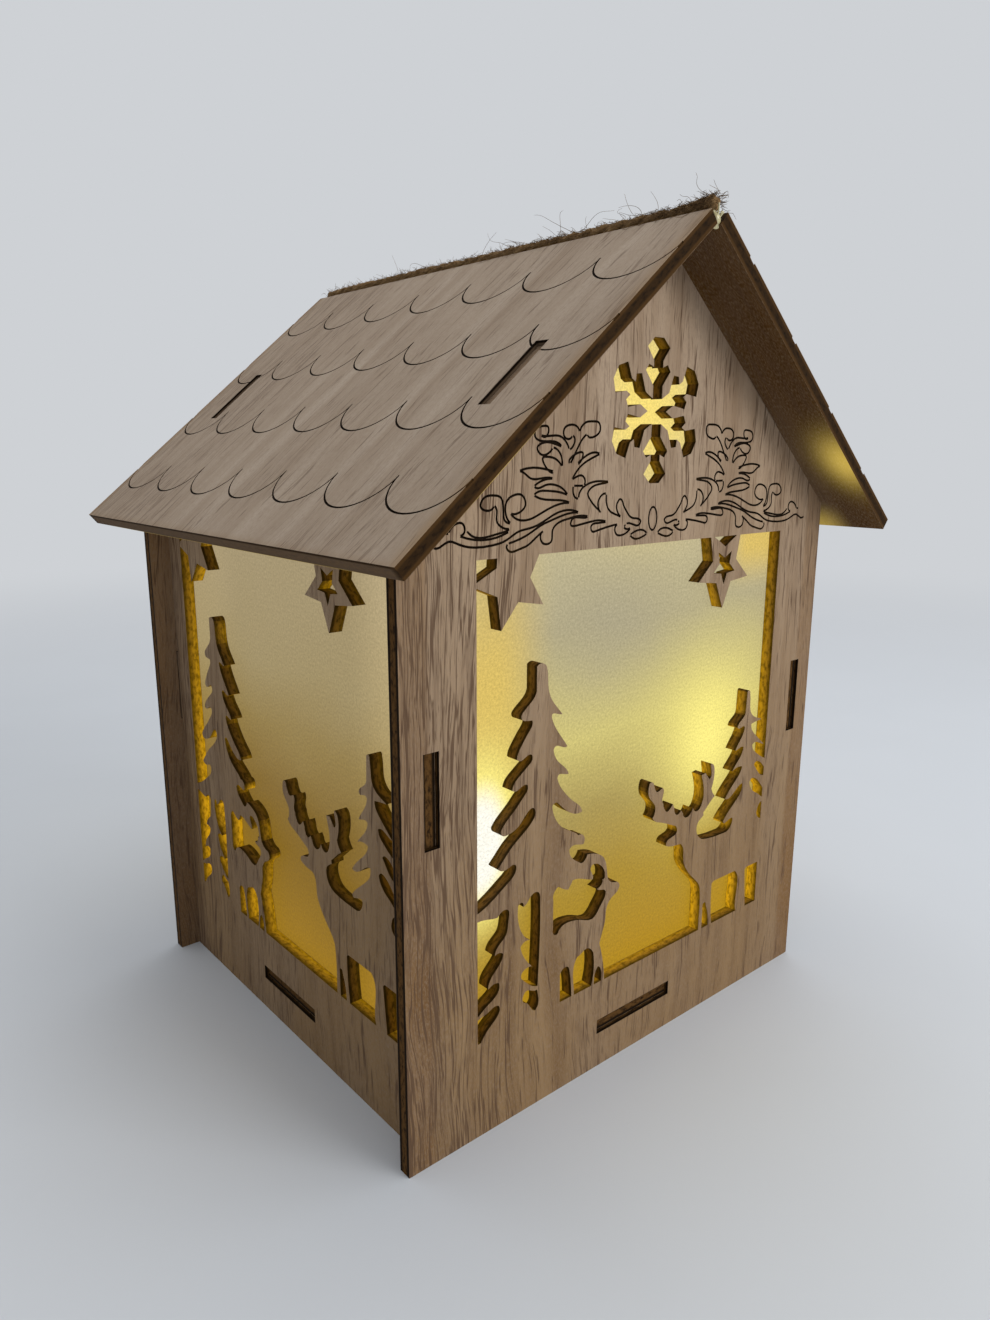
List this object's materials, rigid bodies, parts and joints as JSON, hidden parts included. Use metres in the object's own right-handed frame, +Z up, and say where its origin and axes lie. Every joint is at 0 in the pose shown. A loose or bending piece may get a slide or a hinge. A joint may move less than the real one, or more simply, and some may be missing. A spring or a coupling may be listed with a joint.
{
  "type": "tealight house",
  "caption": "Plywood lantern house with pierced forest windows, frosted sheets behind them, a twine-edged roof, and an LED tealight that stands in its floor.",
  "frame": {"origin": "on the ground, under the middle of the house", "axes": "+X to the right along the front wall as seen from the front, +Y from the front wall to the back wall, +Z up"},
  "size_m": [0.1372, 0.1317, 0.171],
  "materials": {
    "wall_ply": "matte oak-faced plywood, dark burnt edges",
    "roof_ply": "matte oak-faced plywood, dark burnt edges",
    "frosted_sheet": "frosted, translucent",
    "jute": "rough natural fibre",
    "glue": "clouded, glossy",
    "light_plastic": "smooth",
    "knob_plastic": "matte",
    "flame_plastic": "clouded, translucent",
    "led_epoxy": "clear yellow",
    "cell_steel": "polished",
    "contact_metal": "bright"
  },
  "bodies": {
    "tealight": {"tealight_housing": "light_plastic", "base_cap": "light_plastic", "flame_lens": "flame_plastic", "led": "led_epoxy", "coin_cell": "cell_steel", "top_contact": "contact_metal", "side_contact": "contact_metal"},
    "door": {"battery_door": "light_plastic"},
    "knob": {"switch_knob": "knob_plastic"},
    "house": {"front_wall": "wall_ply", "back_wall": "wall_ply", "left_wall": "wall_ply", "right_wall": "wall_ply", "floor_panel": "wall_ply", "left_roof": "roof_ply", "right_roof": "roof_ply", "front_sheet": "frosted_sheet", "back_sheet": "frosted_sheet", "left_sheet": "frosted_sheet", "right_sheet": "frosted_sheet", "ridge_twine": "jute", "ridge_glue": "glue", "front_glue_drop": "glue"}
  },
  "joints": [
    {"name": "house_lift", "type": "slide", "parent": "tealight", "child": "house", "axis": [0, 0, 1], "range_m": [0, 0.045]},
    {"name": "battery_door_hinge", "type": "hinge", "parent": "tealight", "child": "door", "pos_m": [-0.01075, 0, 0.00195], "axis": [0, 1, 0], "range_deg": [0, 90]},
    {"name": "switch_slide", "type": "slide", "parent": "tealight", "child": "knob", "axis": [1, 0, 0], "range_m": [-0.0026, 0]}
  ]
}
